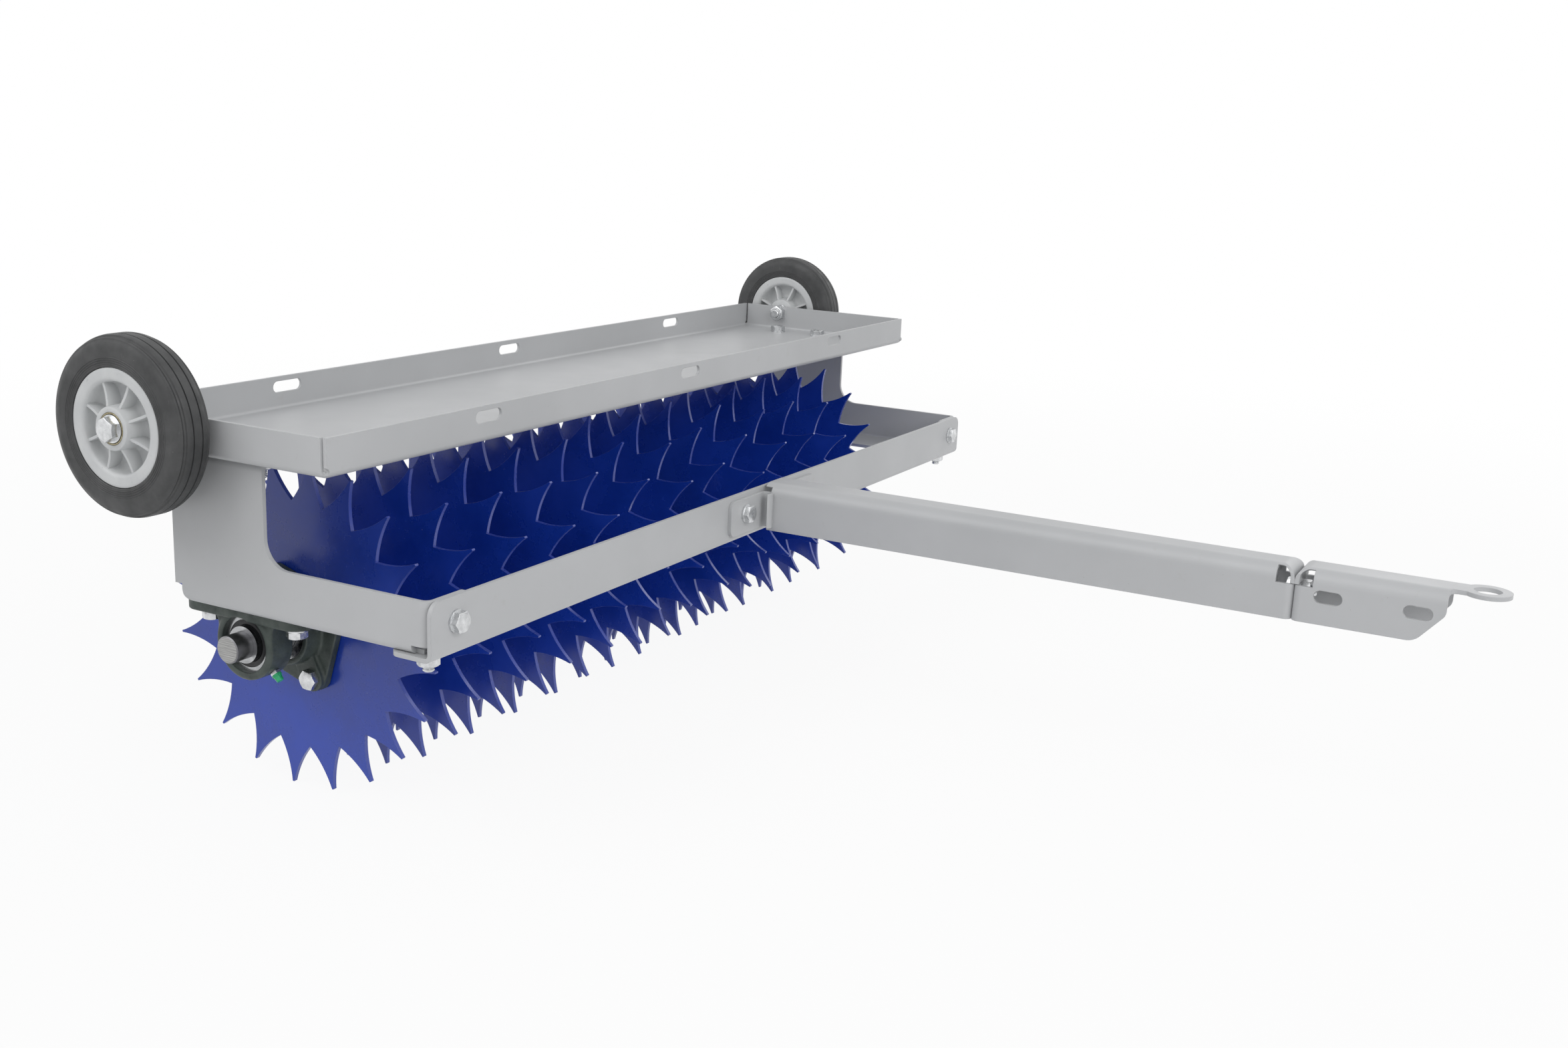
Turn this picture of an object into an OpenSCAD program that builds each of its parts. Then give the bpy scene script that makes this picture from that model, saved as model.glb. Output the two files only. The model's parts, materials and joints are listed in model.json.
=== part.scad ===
// Tow behind aerator: a star drum in two halves on one shaft, carried by a folded sheet frame.
// X runs along the drum, -Y is the towing direction and +Z is up. All sizes are in millimetres.

/* [Drum] */
// Radius over the star tips
star_r = 157.6; // [150:0.1:159]
// Radius at the valleys between teeth
valley_r = 117.4; // [112:0.1:125]
// Width of the blunt tip of a tooth
tip_w = 1.8; // [1:0.1:4]
// Depth of the hollow in each tooth flank
flank_sag = 2.6; // [2:0.1:5]
// Thickness of a star plate
star_t = 4; // [3:0.5:4.5]
// Distance between the middles of neighbouring stars
star_pitch = 76.4; // [76.4:0.1:77]
// Outer diameter of the core tube of each half drum
tube_od = 70; // [66:1:74]
// Wall of the core tube
tube_wall = 3; // [2:0.5:5]

/* [Shaft and bearings] */
// Diameter of the shaft
shaft_d = 25; // [20:0.5:26]
// Length of shaft that stands out past each pillow block bearing
shaft_out = 18.5; // [5:0.5:30]
// Outer diameter of the bearing inserts
insert_d = 52; // [50:1:54]
// Width of the bearing outer rings
outer_ring_w = 17; // [15:0.5:18]
// Inner ring length beyond the middle of the bearing, short side
ring_short = 14.3; // [12:0.1:15]
// Inner ring length beyond the middle of the bearing, long side
ring_long = 19.8; // [18:0.1:19.8]
// Height of the pillow block seat above the shaft axis
pillow_h = 36.5; // [36:0.5:40]
// Length of the pillow block foot
pillow_l = 140; // [130:1:150]
// Width of the pillow block foot
pillow_w = 38; // [34:1:38]
// Thickness of the pillow block foot
foot_t = 13; // [10:0.5:16]
// Distance between the two bolts of a pillow block
pillow_bolt_s = 101; // [98:1:108]
// Side of the square housing of a flange bearing
flange_w = 95; // [92:1:98]
// Distance between neighbouring bolts of a flange bearing
flange_bolt_s = 70; // [69:0.5:71]
// Thickness of the flange arms under the bolt heads
flange_t = 13; // [10:0.5:14]
// Thickness of the flange between its arms
flange_web = 8; // [6:0.5:9]

/* [Weight tray] */
// Outer length of the tray
tray_l = 1126; // [1120:1:1136]
// Outer depth of the tray
tray_w = 249; // [240:1:280]
// Height of the tray walls
tray_h = 34; // [32:0.5:60]
// Sheet thickness of the tray
tray_t = 3; // [2:0.5:4]
// Height of the tray underside above the shaft axis
tray_z = 173; // [172:1:200]
// Tray middle in front of the shaft axis
tray_ahead = 7.8; // [-10:0.1:20]
// Length of a strap slot
slot_l = 38; // [30:1:60]
// Height of a strap slot
slot_h = 11; // [6:0.5:14]
// Distance between neighbouring strap slots
slot_s = 353; // [200:1:400]
// Slot middle below the top edge
slot_drop = 10; // [8.5:0.5:14]

/* [Side plates] */
// Distance over the outer faces of the side plates
frame_w = 1102; // [1096:1:1106]
// Sheet thickness of the side plates, front bar, drawbar and hitch
plate_t = 4; // [3:0.5:5]
// Width of the upright part
upright_w = 107.6; // [100:0.1:125]
// Rear edge behind the shaft axis
upright_rear = 58; // [56:1:70]
// Height of the leg that runs to the front bar
leg_h = 47; // [40:1:55]
// Inner corner radius between upright and leg
corner_r = 25; // [10:1:35]
// Width of the bottom flange
flange_in = 70; // [66:1:76]
// Width of the top flange
top_flange = 44; // [40:1:50]
// Inside radius of the sheet bends
bend_r = 3; // [2:0.5:4]

/* [Front bar] */
// Front face of the bar in front of the shaft axis
bar_y = 230; // [220:1:260]
// Length of the bar
bar_l = 1105; // [1100:1:1112]
// Depth of the bottom flange
bar_flange = 46; // [40:1:52]
// Distance from the bar's middle to the end bolts
bar_bolt_x = 521; // [510:1:526]
// Bottom bolt behind the front face
bar_bolt_y = 21; // [20:0.5:24]
// Distance from the bar's middle to the bottom bolts
low_bolt_x = 531; // [515:1:531]

/* [Drawbar and hitch] */
// Width of the drawbar channel
draw_w = 50; // [44:1:60]
// Height of the drawbar channel
draw_h = 51; // [48:1:60]
// Sideways offset of the drawbar from the middle
draw_x = 18; // [-60:1:60]
// Underside of the drawbar above the shaft axis
draw_z = 36.5; // [34:0.5:40]
// Length from the front bar to the joint with the hitch
draw_l = 566; // [400:1:900]
// Inside radius of the top bends
draw_bend = 9; // [6:0.5:11]
// Width of a drawbar ear
ear_w = 74.5; // [64:0.5:80]
// Length of the hitch channel
hitch_l = 134; // [128:1:180]
// Length of a hitch side slot
side_slot_l = 26; // [20:1:34]
// Height of a hitch side slot
side_slot_h = 12.5; // [10:0.5:18]
// Height of the side slots above the channel's edge
side_slot_z = 26.5; // [24:0.5:30]
// Distance between the two side slots
side_slot_s = 79; // [70:1:90]
// Diameter of the hitch pin eye
eye_d = 24; // [16:0.5:26]
// Width of the ring round the eye
eye_rim = 9; // [7:0.5:12]
// Eye middle in front of the hitch channel
eye_ahead = 30; // [26:1:60]

/* [Wheels] */
// Tyre diameter
tyre_d = 156; // [150:1:170]
// Tyre width
tyre_w = 36; // [34:1:44]
// Diameter of the wheel rim's outer edge
rim_d = 102; // [96:1:106]
// Width of the rim
rim_w = 35; // [30:1:36]
// Wheel axis above the shaft axis
wheel_z = 197.5; // [193:0.5:200]
// Wheel axis behind the shaft axis
wheel_y = 60; // [50:1:80]
// Length of the wheel spacer sleeve
sleeve_l = 41; // [38:0.5:42]
// Middle of the rim, outward of the sleeve's middle
rim_shift = 1.5; // [0:0.5:2]
// How far the hub stands out of the rim
hub_proud = 4; // [3:0.5:6]
// Outer diameter of the hub
hub_d = 38; // [34:1:44]
// Outer diameter of the wheel spacer sleeve
sleeve_d = 20; // [18:0.5:22]
// Number of spokes
spoke_count = 8; // [6:1:10]

/* [Fasteners] */
// Diameter of the frame bolts
bolt_d = 10; // [8:0.5:10]
// Length of the frame bolts
bolt_l = 25; // [23:1:30]
// Diameter of the wheel bolts
axle_d = 12; // [10:0.5:12]

/* [Hidden] */
$fn = 64;
teeth = 20;
star_count = 13;
left_count = 7;
tooth_step = 360 / teeth;
// Angle in degrees at which each star is welded on, as seen on the machine
star_turn = [12.5, 11.5, 10, 8.5, 7, 16.5, 10.5, 13.5, 4.5, 14, 14, 8.5, 10];

// Clearances
bolt_gap = 0.5;
run_gap = 0.05;
fit_gap = 0.15;
seal_seat = 0.2;
side_gap = 0.5;
cut = 1;

// Derived positions
first_star = star_pitch * (star_count - 1) / 2;
tooth_off = [for (a = star_turn) min(a % tooth_step, tooth_step - a % tooth_step)];
tip_half = asin(tip_w / 2 / star_r);
reach = star_r * cos(max(0, min(tooth_off) - tip_half));
eye_y = -bar_y - draw_l - hitch_l - eye_ahead;
front_y = eye_y - eye_d / 2 - eye_rim;
origin_y = -(front_y + reach) / 2;
insert_r = insert_d / 2;
shaft_r = shaft_d / 2;
flange_depth = 35.7;
flange_mid = flange_depth - ring_long;
pillow_x = first_star + star_t / 2 + flange_depth + side_gap * 2 + ring_long;
shaft_l = 2 * (pillow_x + ring_short + shaft_out);
top_r = draw_bend + plate_t;
bend_out = bend_r + plate_t;
tray_out = bend_r + tray_t;
frame_x = frame_w / 2;
plate_front = -(bar_y - plate_t);
bolt_r = bolt_d / 2;
hole_r = bolt_r + bolt_gap;
nut_af = bolt_d * 1.7;
nut_h = bolt_d * 0.8;
head_h = bolt_d * 0.64;
washer_r = bolt_d;
washer_t = 2;
spring_t = 2.5;
spring_r = bolt_r * 1.78;
axle_r = axle_d / 2;
axle_af = axle_d * 1.55;
axle_head = axle_d * 0.63;
axle_nut = axle_d;
axle_washer_r = axle_d;
axle_washer_t = 2.5;
tray_end = tray_l / 2;
wheel_x = tray_end + axle_washer_t + sleeve_l / 2 + rim_shift;
sleeve_out = rim_shift - sleeve_l / 2;
sleeve_in = sleeve_out + sleeve_l;
tray_bolt_x = frame_x - 27.5;
tray_bolt_y = [upright_rear - 17, upright_rear - 79.5];
bar_bottom = pillow_h - plate_t;
bar_h = leg_h + plate_t;
bar_bolt_z = pillow_h + leg_h / 2 + 2;
ear_bolt_x = draw_w / 2 - plate_t + ear_w - 31;
end_y = -bar_y - draw_l;
turn_down = -28;

function star_name(i) = str("star_", i < 10 ? "0" : "", i);
function star_x(i) = -first_star + star_pitch * (i - 1);

// Puts the drum centred model on the floor, in the middle of its own box
module placed() {
    translate([0, origin_y, reach]) children();
}

module both_sides() {
    children();
    mirror([1, 0, 0]) children();
}

module along_x(l) {
    translate([-l / 2, 0, 0]) rotate([90, 0, 90]) linear_extrude(l) children();
}

// A cylinder on X that starts at x and is l long
module rod_x(x, l, r) {
    translate([x, 0, 0]) rotate([0, 90, 0]) cylinder(h = l, r = r);
}

module ring_x(x, l, r_out, r_in) {
    difference() {
        rod_x(x, l, r_out);
        rod_x(x - cut, l + 2 * cut, r_in);
    }
}

// Plane block with one rounded corner at the origin, the outside of a sheet bend
module corner_block(a, b, r) {
    translate([r, 0]) square([a - r, b]);
    translate([0, r]) square([a, b - r]);
    translate([r, r]) circle(r);
}

// Section of a sheet folded through a right angle, legs a on X and b on Y
module folded(a, b, t, r) {
    difference() {
        corner_block(a, b, r + t);
        translate([t, t]) corner_block(a, b, r);
    }
}

// Sliver that rounds an outline's corner at p, whose edges run towards a and b
module corner_cut(p, a, b, r) {
    u = (a - p) / norm(a - p);
    v = (b - p) / norm(b - p);
    half = acos(u * v) / 2;
    middle = (u + v) / norm(u + v);
    difference() {
        polygon([p + u * r / tan(half), p - middle * cut, p + v * r / tan(half)]);
        translate(p + middle * r / sin(half)) circle(r);
    }
}

module slot2d(l, h) {
    for (s = [-1, 1]) translate([s * (l - h) / 2, 0]) circle(h / 2);
    square([l - h, h], center = true);
}

module rounded2d(w, h, r) {
    square([w - 2 * r, h], center = true);
    square([w, h - 2 * r], center = true);
    for (x = [-1, 1], y = [-1, 1]) translate([x * (w / 2 - r), y * (h / 2 - r)]) circle(r);
}

// Fasteners, drawn on Z with the clamped face at z = 0
module hex_body(af, h) {
    chamfer = af * 0.07;
    intersection() {
        cylinder(h = h, r = af / sqrt(3), $fn = 6);
        union() {
            cylinder(h = h - chamfer, r = af / sqrt(3) + cut);
            translate([0, 0, h - chamfer]) cylinder(h = chamfer, r1 = af / 2 + 2 * chamfer, r2 = af / 2 - 0.2);
        }
    }
}

// Hex bolt: head above z = 0, shank of length l below
module hex_bolt(d, l, af, h) {
    hex_body(af, h);
    translate([0, 0, 1.2 - l]) cylinder(h = l, r = d / 2);
    translate([0, 0, -l]) cylinder(h = 1.2, r1 = d / 2 - 1, r2 = d / 2);
}

module hex_nut(d, af, h) {
    difference() {
        hex_body(af, h);
        translate([0, 0, -cut]) cylinder(h = h + 2 * cut, r = d / 2 + run_gap);
    }
}

module washer(r, t, bore_r) {
    difference() {
        cylinder(h = t, r = r);
        translate([0, 0, -cut]) cylinder(h = t + 2 * cut, r = bore_r);
    }
}

// Turns a fastener so that its head faces the named way
module facing_front() {
    rotate([90, 0, 0]) children();
}

module facing_left() {
    rotate([0, -90, 0]) children();
}

// Places of the frame bolts: [x, y, z] of the clamped face under the washer, grip
module at_tray_bolts() {
    for (s = [-1, 1], y = tray_bolt_y) translate([s * tray_bolt_x, y, tray_z + tray_t]) children();
}

module at_bar_bolts() {
    for (s = [-1, 1]) translate([s * bar_bolt_x, -bar_y, bar_bolt_z]) facing_front() children();
}

module at_bottom_bolts() {
    for (s = [-1, 1]) translate([s * low_bolt_x, bar_bolt_y - bar_y, pillow_h + plate_t]) children();
}

module at_ear_bolts() {
    for (s = [-1, 1])
        translate([draw_x + s * ear_bolt_x, -bar_y - plate_t, bar_bolt_z]) facing_front() children();
}

module at_pillow_bolts() {
    for (s = [-1, 1], y = [-1, 1])
        translate([s * pillow_x, y * pillow_bolt_s / 2, pillow_h - foot_t]) mirror([0, 0, 1]) children();
}

// Stars
flank_top = [star_r * sin(tooth_step / 2 - tip_half), star_r * cos(tooth_step / 2 - tip_half)];
flank_run = flank_top - [0, valley_r];
flank_len = norm(flank_run);
flank_r = flank_len * flank_len / (8 * flank_sag) + flank_sag / 2;
flank_mid = [0, valley_r] + flank_run / 2;
flank_centre = flank_mid + (flank_r - flank_sag) / flank_len * [-flank_run[1], flank_run[0]];

// Gap between two teeth: the space shared by two circles that cross at the valley
module tooth_gap(h) {
    intersection() {
        translate([flank_centre[0], flank_centre[1], 0]) cylinder(h = h, r = flank_r);
        translate([-flank_centre[0], flank_centre[1], 0]) cylinder(h = h, r = flank_r);
    }
}

module star_plate(turn, bore_r, bolted) {
    rotate([0, 90, 0]) translate([0, 0, -star_t / 2]) rotate([0, 0, -turn]) difference() {
        cylinder(h = star_t, r = star_r, $fn = 120);
        for (k = [0:teeth - 1])
            rotate([0, 0, -90 + (k + 0.5) * tooth_step]) translate([0, 0, -cut]) tooth_gap(star_t + 2 * cut);
        translate([0, 0, -cut]) cylinder(h = star_t + 2 * cut, r = bore_r);
        if (bolted) rotate([0, 0, turn]) star_bolt_holes();
    }
}

module star_bolt_holes() {
    at_flange_bolts() translate([0, 0, -cut]) cylinder(h = star_t + 2 * cut, r = hole_r);
}

function ends_half(i) = i == 1 || i == left_count || i == left_count + 1 || i == star_count;

module star(i) {
    bore = ends_half(i) ? shaft_r + 2 : tube_od / 2 + fit_gap;
    color([0.09, 0.16, 0.55]) placed() translate([star_x(i), 0, 0])
        star_plate(star_turn[i - 1], bore, ends_half(i));
}

module drum_tube(first, last) {
    start = star_x(first) + star_t / 2;
    color([0.09, 0.16, 0.55]) placed()
        ring_x(start, star_x(last) - star_t / 2 - start, tube_od / 2, tube_od / 2 - tube_wall);
}

// Bearings, drawn with the middle of the balls at x = 0 and the long ring side towards +X
ball_r = 3.95;
race_r = 19.5;
groove_r = ball_r + run_gap;
inner_r = 17;
ball_count = 9;

module inner_ring() {
    color([0.75, 0.76, 0.78]) difference() {
        ring_x(-ring_short, ring_short + ring_long, inner_r, shaft_r + run_gap);
        rotate([0, 90, 0]) rotate_extrude() translate([race_r, 0]) circle(groove_r);
    }
}

module outer_ring() {
    color([0.7, 0.71, 0.73]) difference() {
        ring_x(-outer_ring_w / 2, outer_ring_w, insert_r - run_gap, race_r + 2.5);
        rotate([0, 90, 0]) rotate_extrude() translate([race_r, 0]) circle(groove_r);
    }
    color([0.12, 0.12, 0.13]) both_sides()
        ring_x(outer_ring_w / 2 - 2.5, 1.5, race_r + 2.5 + seal_seat, inner_r + 0.3);
}

module balls() {
    color([0.8, 0.8, 0.82]) for (k = [0:ball_count - 1])
        rotate([k * 360 / ball_count, 0, 0]) translate([0, 0, race_r]) sphere(ball_r);
}

// Places of the flange bearings: star number and the side that the housing stands on
flange_places = [[1, -1], [left_count, 1], [left_count + 1, -1], [star_count, 1]];

module at_flange(k) {
    p = flange_places[k - 1];
    translate([star_x(p[0]) + p[1] * star_t / 2, 0, 0]) mirror([p[1] < 0 ? 1 : 0, 0, 0]) children();
}

pad_r = (flange_w - flange_bolt_s) / 2;
flange_bolt_r = flange_bolt_s / sqrt(2);

module at_flange_bolts() {
    for (k = [0:3]) rotate([0, 0, turn_down + 90 * k]) translate([flange_bolt_r, 0, 0]) children();
}

// Square flange with thicker arms that run from the boss to its four bolts
module flange_base() {
    ledge = 1;
    rotate([0, 0, turn_down]) {
        rotate([0, 0, 45]) linear_extrude(flange_web) rounded2d(flange_w, flange_w, pad_r);
        for (a = [0, 90]) rotate([0, 0, a]) linear_extrude(flange_t)
            slot2d(2 * (flange_bolt_r + pad_r) - ledge, 2 * pad_r - ledge);
    }
}

// Flange bearing housing on the face x = 0, standing towards +X
module flange_housing(k) {
    boss_r = insert_r + 6;
    boss_h = flange_mid + outer_ring_w / 2 + 1;
    color([0.2, 0.24, 0.23]) placed() at_flange(k) difference() {
        rotate([0, 90, 0]) union() {
            flange_base();
            translate([0, 0, flange_web]) cylinder(h = boss_h - flange_web, r1 = boss_r + 1.5, r2 = boss_r - 1);
        }
        rod_x(-cut, boss_h + 2 * cut, shaft_r + 6);
        rod_x(flange_mid - outer_ring_w / 2, boss_h, insert_r);
        rotate([0, 90, 0]) at_flange_bolts() translate([0, 0, -cut])
            cylinder(h = flange_t + 2 * cut, r = hole_r);
    }
}

module flange_parts(ks) {
    placed() for (k = ks) at_flange(k) translate([flange_mid, 0, 0]) children();
}

module flange_bolts(ks) {
    grip = flange_t + star_t + nut_h + 4;
    color([0.8, 0.8, 0.8]) placed() for (k = ks) at_flange(k)
        rotate([0, 90, 0]) at_flange_bolts() translate([0, 0, flange_t])
            hex_bolt(bolt_d, grip, nut_af, head_h);
}

module flange_nuts(ks) {
    color([0.8, 0.8, 0.8]) placed() for (k = ks) at_flange(k)
        rotate([0, 90, 0]) at_flange_bolts() translate([0, 0, -star_t])
            mirror([0, 0, 1]) hex_nut(bolt_d, nut_af, nut_h);
}

// Shaft with chamfered ends
module shaft() {
    chamfer = 1;
    color([0.35, 0.35, 0.36]) placed() {
        rod_x(chamfer - shaft_l / 2, shaft_l - 2 * chamfer, shaft_r);
        for (s = [-1, 1]) translate([s * (shaft_l / 2 - chamfer), 0, 0])
            rotate([0, s * 90, 0]) cylinder(h = chamfer, r1 = shaft_r, r2 = shaft_r - chamfer);
    }
}

// Pillow block bearing, hung under the side plate, the long ring side towards the drum
module pillow_housing() {
    boss_r = insert_r + 7;
    boss_w = 28;
    edge = 2;
    neck = 2 * boss_r - edge;
    fillet = 9;
    color([0.2, 0.24, 0.23]) difference() {
        union() {
            rod_x(edge - boss_w / 2, boss_w - 2 * edge, boss_r);
            for (s = [-1, 1]) translate([s * (boss_w / 2 - edge), 0, 0]) rotate([0, s * 90, 0])
                cylinder(h = edge, r1 = boss_r, r2 = boss_r - edge);
            translate([edge - boss_w / 2, -neck / 2, 0]) cube([boss_w - 2 * edge, neck, pillow_h]);
            translate([0, 0, pillow_h - foot_t]) linear_extrude(foot_t)
                rounded2d(pillow_w, pillow_l, pillow_w / 2 - edge);
            along_x(boss_w - 2 * edge) both_sides() difference() {
                translate([neck / 2 - cut, pillow_h - foot_t - fillet]) square([fillet + cut, fillet + cut]);
                translate([neck / 2 + fillet, pillow_h - foot_t - fillet]) circle(fillet);
            }
        }
        rod_x(-boss_w, 2 * boss_w, insert_r - 3);
        rod_x(-boss_w, boss_w + outer_ring_w / 2, insert_r);
        for (s = [-1, 1]) translate([0, s * pillow_bolt_s / 2, 0]) cylinder(h = 2 * pillow_h, r = hole_r + 1);
        nipple_place() cylinder(h = 12, r = 3.1);
    }
}

module nipple_place() {
    rotate([137, 0, 0]) translate([0, 0, insert_r + 1.5]) children();
}

module grease_nipple() {
    color([0.7, 0.7, 0.68]) nipple_place() {
        cylinder(h = 6, r = 3);
        translate([0, 0, 6]) cylinder(h = 2.5, r = 4.6, $fn = 6);
        translate([0, 0, 8.5]) cylinder(h = 4.5, r1 = 2.6, r2 = 2);
    }
}

module nipple_cap() {
    color([0.1, 0.62, 0.38]) nipple_place() translate([0, 0, 8.5 + run_gap]) difference() {
        union() {
            cylinder(h = 2, r = 4.4);
            cylinder(h = 7, r1 = 4, r2 = 3.2);
        }
        translate([0, 0, -cut]) cylinder(h = 5.8, r = 2.9);
    }
}

module at_pillow(side) {
    placed() mirror([side > 0 ? 1 : 0, 0, 0]) translate([-pillow_x, 0, 0]) children();
}

// The long side of the pillow block's inner ring looks to the drum
module pillow_outer(side) {
    at_pillow(side) outer_ring();
}

module pillow_inner(side) {
    at_pillow(side) inner_ring();
}

// Weight tray: floor, two long walls and two end walls folded up from one sheet
module tray_slots(y) {
    for (k = [-1:1]) translate([k * slot_s, y, tray_z + tray_h - slot_drop])
        rotate([90, 0, 0]) linear_extrude(3 * tray_out, center = true) slot2d(slot_l, slot_h);
}

// Block with the tray's rounded lower edges, set in from its outer faces
module tray_block(inset) {
    r = tray_out - inset;
    wide = tray_w - 2 * inset;
    long = tray_l - 2 * inset;
    intersection() {
        along_x(long) translate([0, tray_h + inset]) rounded2d(wide, 2 * tray_h, r);
        rotate([0, 0, 90]) along_x(wide) translate([0, tray_h + inset]) rounded2d(long, 2 * tray_h, r);
        translate([0, 0, tray_h / 2]) cube([tray_l, tray_w, tray_h + 2 * inset], center = true);
    }
}

// Open seam of a tray corner over a round relief, on the corner that points to -X and -Y
module tray_seam() {
    setback = tray_t / 2;
    gap = 2.3;
    translate([-cut, -cut, tray_out]) cube([setback + cut, tray_t + gap + cut, tray_h]);
    translate([-cut, tray_t, tray_out]) cube([tray_t + 2 * cut, gap, tray_h]);
    translate([setback, setback, tray_out]) sphere(r = tray_t);
}

module weight_tray() {
    long_leg = tray_w / 2;
    end_leg = tray_l / 2;
    color([0.66, 0.67, 0.68]) placed() translate([0, -tray_ahead, 0]) difference() {
        translate([0, 0, tray_z]) difference() {
            tray_block(0);
            tray_block(tray_t);
            both_sides() both_walls() translate([-end_leg, -long_leg, 0]) tray_seam();
        }
        for (s = [-1, 1]) tray_slots(s * long_leg);
        for (s = [-1, 1], y = tray_bolt_y) translate([s * tray_bolt_x, y + tray_ahead, tray_z - cut])
            cylinder(h = tray_t + 2 * cut, r = hole_r);
        for (s = [-1, 1]) translate([s * end_leg, wheel_y + tray_ahead, wheel_z])
            rotate([0, 90, 0]) cylinder(h = 3 * tray_out, r = axle_r + bolt_gap, center = true);
    }
}

module both_walls() {
    children();
    mirror([0, 1, 0]) children();
}

// Side plate on the left, seen from the side as an L
plate_rear_step = 8;

module plate_outline() {
    front_edge = upright_rear - upright_w;
    leg_top = pillow_h + leg_h;
    bottom_r = 12;
    difference() {
        union() {
            translate([front_edge, pillow_h + bottom_r]) square([upright_w - plate_rear_step, tray_z - pillow_h - bottom_r]);
            translate([front_edge, pillow_h + 16]) square([upright_w, tray_z - pillow_h - 16]);
            translate([plate_front, pillow_h])
                square([upright_rear - plate_front - plate_rear_step - bottom_r, leg_h]);
            translate([upright_rear - plate_rear_step - bottom_r, pillow_h + bottom_r]) circle(bottom_r);
            translate([front_edge - corner_r, leg_top - cut]) square([corner_r + cut, corner_r + cut]);
        }
        translate([front_edge - corner_r, leg_top + corner_r]) circle(corner_r);
    }
}

module side_plate(side) {
    tab_l = frame_x - bar_bolt_x + 25;
    corner_bend = 6;
    corner_out = corner_bend + plate_t;
    relief_h = 8;
    relief_l = 18;
    tall = tray_z - pillow_h;
    color([0.64, 0.65, 0.66]) placed() mirror([side > 0 ? 1 : 0, 0, 0]) difference() {
        union() {
            intersection() {
                translate([-frame_x, 0, 0]) rotate([90, 0, 90]) linear_extrude(flange_in) plate_outline();
                rotate([90, 0, 0]) linear_extrude(4 * bar_y, center = true) union() {
                    translate([-frame_x, pillow_h]) folded(flange_in, tall / 2 + cut, plate_t, bend_r);
                    translate([-frame_x, tray_z]) mirror([0, 1]) folded(top_flange, tall / 2 + cut, plate_t, bend_r);
                }
                translate([-frame_x, plate_front + corner_out, 0]) cube([flange_in, 2 * bar_y, 2 * tray_z]);
            }
            translate([-frame_x, plate_front, pillow_h + relief_h])
                linear_extrude(leg_h - relief_h) folded(tab_l, 2 * corner_out + cut, plate_t, corner_bend);
        }
        translate([-frame_x - cut, plate_front - cut, pillow_h - cut])
            cube([bend_out + cut, relief_l + cut, relief_h + cut]);
        translate([0, plate_front, 0]) rotate([90, 0, 0]) linear_extrude(4 * plate_t, center = true)
            corner_cut([tab_l - frame_x, pillow_h + leg_h], [-frame_x, pillow_h + leg_h], [tab_l - frame_x, 0], 10);
        side_plate_holes();
    }
}

module side_plate_holes() {
    for (y = tray_bolt_y) translate([-tray_bolt_x, y, tray_z - 2 * bend_out]) cylinder(h = 3 * bend_out, r = hole_r);
    for (s = [-1, 1]) translate([-pillow_x, s * pillow_bolt_s / 2, pillow_h - cut]) cylinder(h = bend_out, r = hole_r);
    translate([-low_bolt_x, bar_bolt_y - bar_y, pillow_h - cut]) cylinder(h = bend_out, r = hole_r);
    translate([-bar_bolt_x, plate_front, bar_bolt_z]) rotate([90, 0, 0])
        cylinder(h = 4 * plate_t, r = hole_r, center = true);
}

module front_bar() {
    end_r = 12;
    color([0.66, 0.67, 0.68]) placed() difference() {
        intersection() {
            along_x(bar_l) translate([-bar_y, bar_bottom]) folded(bar_flange, bar_h, plate_t, bend_r);
            translate([0, -bar_y + bar_flange / 2, bar_bottom + bar_h / 2]) rotate([90, 0, 0])
                linear_extrude(2 * bar_flange, center = true) union() {
                    rounded2d(bar_l, bar_h, end_r);
                    translate([0, -end_r / 2 - bar_h / 4]) square([bar_l, bar_h / 2 - end_r], center = true);
                }
            translate([0, -bar_y + bar_flange - 3 * end_r, 0]) linear_extrude(2 * bar_h + 2 * pillow_h)
                rounded2d(bar_l, 6 * end_r, end_r);
        }
        for (s = [-1, 1]) translate([s * low_bolt_x, bar_bolt_y - bar_y, bar_bottom - cut])
            cylinder(h = bend_out, r = hole_r);
        for (x = [-bar_bolt_x, bar_bolt_x, draw_x - ear_bolt_x, draw_x + ear_bolt_x])
            translate([x, -bar_y, bar_bolt_z]) rotate([90, 0, 0])
                cylinder(h = 4 * plate_t, r = hole_r, center = true);
    }
}

// Block with two rounded top corners, its underside at z = 0, on the XZ plane
module channel_block(w, h, r) {
    both_sides() translate([-w / 2, h]) mirror([0, 1, 0]) corner_block(w / 2, h, r);
}

// Channel that opens downwards, running from y = 0 to -Y
module channel(l) {
    rotate([90, 0, 0]) linear_extrude(l) difference() {
        channel_block(draw_w, draw_h, top_r);
        translate([0, -cut]) channel_block(draw_w - 2 * plate_t, draw_h - plate_t + cut, draw_bend);
    }
}

// The folded ends: length of the folds and height at which the side returns stop
end_l = top_r + plate_t;
side_top = draw_h - top_r - plate_t;

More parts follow.
